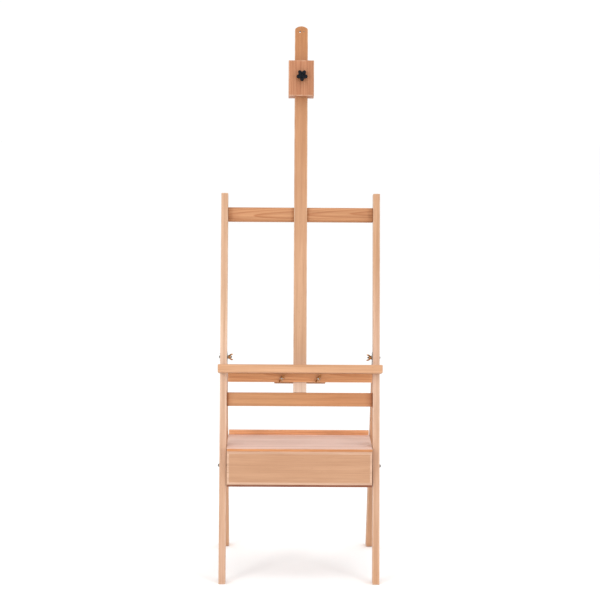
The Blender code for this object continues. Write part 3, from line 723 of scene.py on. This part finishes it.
def wing_nuts():
    pattern = wing_nut("wing_nut_pattern")
    leg_turn, tray_turn = math.radians(55), math.radians(35)
    for side, sign in SIDES:
        leg = twin(pattern, f"leg_nut_{side}_winged")
        place(leg, ALONG_FRAME, (sign * (INNER_HALF - 0.0024), *LEG_HINGE), (-sign, 0, 0),
              (0, -math.sin(leg_turn), math.cos(leg_turn)))
        fitted(leg, BRASS, f"leg_nut_{side}", "brass", f"leg_wing_nut_{side}", angle=45)
        tray = twin(pattern, f"tray_nut_{side}_winged")
        place(tray, ALONG_FRAME, (sign * TRAY_BOLT[0], -0.0021, TRAY_BOLT[1]), (0, -1, 0),
              (math.sin(tray_turn), 0, math.cos(tray_turn)))
        fitted(tray, BRASS, f"tray_nut_{side}", "brass", f"tray_wing_nut_{side}", angle=45)
    bpy.data.objects.remove(pattern)


def knob():
    """A five-lobed hand knob, one lobe down: a scalloped disc with soft rims, a hub behind and a dished
    boss in front. It is shaped on +Z, which then faces the front."""
    lobes, thick = 5, 0.0128
    mean_radius, lobe, sharpness = 0.0170, 0.0036, 0.0005
    bpy.ops.object.select_all(action="DESELECT")
    bpy.ops.mesh.primitive_cylinder_add(vertices=120, radius=1.0, depth=thick, location=(0, 0, thick / 2),
                                        end_fill_type="NGON")
    made = started("star_knob")
    for vertex in made.data.vertices:
        angle = math.atan2(vertex.co.y, vertex.co.x) + math.pi / 2
        reach = mean_radius + lobe * math.cos(lobes * angle) - sharpness * math.cos(2 * lobes * angle)
        vertex.co.x *= reach
        vertex.co.y *= reach
    rounded(made, 0.0026, 4, 40)
    cut(made, turned("knob_hub", [(-0.0055, 0.0088), (-0.0050, 0.0094), (0.0010, 0.0098)], 40), "UNION")
    cut(made, turned("knob_boss", [(0.0100, 0.0100), (0.0140, 0.0090), (0.0150, 0.0082)], 40), "UNION")
    cut(made, turned("knob_dish", [(0.0120, 0.0044), (0.0135, 0.0052), (0.0170, 0.0066)], 40))
    cut(made, turned("knob_bore", [(-0.0080, M8 * 1.05), (0.0080, M8 * 1.05)], 32))
    place(made, ALONG_FRAME, (KNOB[0], -0.0210, KNOB[1]), (0, -1, 0), (1, 0, 0))
    fitted(made, BLACK, "knob", "black_knob", "knob", angle=50)
    stud = turned("knob_screw", [(0.0, M8 * 0.8)] + thread(0.0, 0.0385, M8, COARSE_PITCH), 28)
    place(stud, ALONG_FRAME, (KNOB[0], -0.0295, KNOB[1]), (0, 1, 0))
    fitted(stud, STEEL, "knob", "steel", "knob_stud")


# ---- wood screws ----
BACK, UNDER = (0, 1, 0), (0, 0, -1)       # the way a screw's head faces
HOLDER_SCREWS = ((-0.034, 1.736), (0.034, 1.736), (-0.034, 1.823), (0.034, 1.823))
TRAY_SCREWS = (-0.225, -0.135, 0.135, 0.225)
BOX_BACK_SCREWS = ((1, -0.246, -0.045), (3, -0.246, 0.045), (4, 0.246, -0.045), (6, 0.246, 0.045))
HOOK_SCREWS = (("upper", 0.046), ("lower", 0.020))
FLOOR_SCREWS = (0.010, 0.100, 0.190)
MAST_SCREWS = (1.285, 1.309)


def screw_pattern(name):
    """A countersunk wood screw, head flush with height 0, with a cross recess."""
    radius = 0.0036
    made = turned(name, [(0.0002, radius * 0.93), (0.0, radius), (-0.0005, radius), (-0.0026, 0.0016),
                         (-0.0040, 0.0015)], 24)
    for turn in (0.0, math.pi / 2):
        cut(made, block("blade", (0, 0, 0), (radius * 1.15, radius * 0.24, 0.0026), turn))
    return made


def screw_spots():
    """Name, body, axes, place and aim of every screw that no node stands for."""
    for number, (x, along) in enumerate(HOLDER_SCREWS, 1):
        yield f"holder_screw_{number}", "holder", ALONG_FRAME, (x, 0.0433, along), BACK
    for number, x in enumerate(TRAY_SCREWS, 1):
        yield f"tray_screw_{number}", "tray", ALONG_FRAME, (x, 0.0120, TRAY_SHELF + 0.006), BACK
    for number, x, z in BOX_BACK_SCREWS:
        yield f"box_back_screw_{number}", "box", BOX_AXES, (x, 0.2270, z), BACK
    for side, sign in SIDES:
        for word, z in HOOK_SCREWS:
            spot = (sign * (0.254 - 0.012), 0.2345, z)
            yield f"hook_screw_{side}_{word}", "box", BOX_AXES, spot, (-sign, 0, 0)
        for number, y in enumerate(FLOOR_SCREWS, 1):
            yield f"floor_screw_{side}_{number}", "box", BOX_AXES, (sign * 0.247, y, -0.0674), UNDER


def wood_screws():
    pattern = screw_pattern("wood_screw_pattern")
    for name, body, axes, spot, aim in screw_spots():
        made = place(twin(pattern, name), axes, spot, aim)
        fitted(made, STEEL, body, "steel", angle=30)
    for number, along in enumerate(MAST_SCREWS, 1):
        made = place(twin(pattern, f"mast_fixing_screw_{number}"), ALONG_FRAME, (0, 0.045, along), BACK)
        fitted(made, STEEL, FRONT_FRAME, "steel", f"mast_screw_{number}", angle=30)
    bpy.data.objects.remove(pattern)
    nail = turned("mast_nail", [(-0.004, 0.0009), (0.0, 0.0009), (0.0, 0.0018), (0.0005, 0.0017),
                                (0.0008, 0.0010)], 20)
    place(nail, ALONG_FRAME, (0.009, 0.0125, 1.952), (0, -1, 0))
    fitted(nail, BOLT_STEEL, FRONT_FRAME, "steel")


timber()
drawer_front()
fastenings()
wing_nuts()
knob()
wood_screws()


# =====================================================================================
# Stage, light and camera
# =====================================================================================
def stage():
    bpy.ops.object.select_all(action="DESELECT")
    bpy.ops.mesh.primitive_plane_add(size=60.0, location=(0, 0, -0.0005))
    floor = bpy.context.active_object
    floor.name = "pale_floor"
    made, _, shader = shader_of("pale floor")
    shader.inputs["Base Color"].default_value = (0.985, 0.985, 0.985, 1.0)
    shader.inputs["Roughness"].default_value = 0.9
    shader.inputs["Specular IOR Level"].default_value = 0.1
    wear(floor, made)


def soft_light(name, place, aim, size, power, colour=(1.0, 1.0, 1.0)):
    """A rectangular lamp of a size in metres and a power in watts, turned to shine at aim."""
    data = bpy.data.lights.new(name, "AREA")
    data.shape = "RECTANGLE"
    data.size, data.size_y = size
    data.energy = power
    data.color = colour
    lamp = bpy.data.objects.new(name, data)
    lamp.location = place
    lamp.rotation_euler = (Vector(aim) - Vector(place)).to_track_quat("-Z", "Y").to_euler()
    bpy.context.scene.collection.objects.link(lamp)


def studio():
    soft_light("left light", (-3.0, -4.2, 2.5), (0, 0, 0.9), (1.2, 1.6), 62.0, (1.0, 0.985, 0.965))
    soft_light("right light", (3.2, -4.0, 2.1), (0, 0, 0.9), (1.2, 1.6), 46.0, (0.985, 0.99, 1.0))
    soft_light("top light", (0.3, -0.6, 4.0), (0, 0, 0.8), (2.0, 1.4), 22.0)
    world = bpy.data.worlds.new("white studio")
    world.use_nodes = True
    backdrop = world.node_tree.nodes["Background"]
    backdrop.inputs["Color"].default_value = (1.0, 1.0, 1.0, 1.0)
    backdrop.inputs["Strength"].default_value = 1.03
    bpy.context.scene.world = world
    bpy.context.scene.view_settings.view_transform = "Standard"


def camera():
    """A long lens at adult eye height, looking slightly down and a touch from the easel's left."""
    distance, height = 6.80, 1.875
    down, around, roll = math.radians(7.358), math.radians(0.7), math.radians(0.41)
    data = bpy.data.cameras.new("camera")
    data.sensor_width = 36.0
    data.lens = 120.6
    data.shift_x = -0.0016
    made = bpy.data.objects.new("camera", data)
    centre = Vector((0.0, FOOT_Y, 0.0))
    turn = Matrix.Rotation(-around, 4, "Z")
    made.matrix_world = (Matrix.Translation(centre) @ turn @ Matrix.Translation((0, -distance, height))
                         @ Matrix.Rotation(math.pi / 2 - down, 4, "X") @ Matrix.Rotation(roll, 4, "Z"))
    bpy.context.scene.collection.objects.link(made)
    bpy.context.scene.camera = made


stage()
studio()
camera()
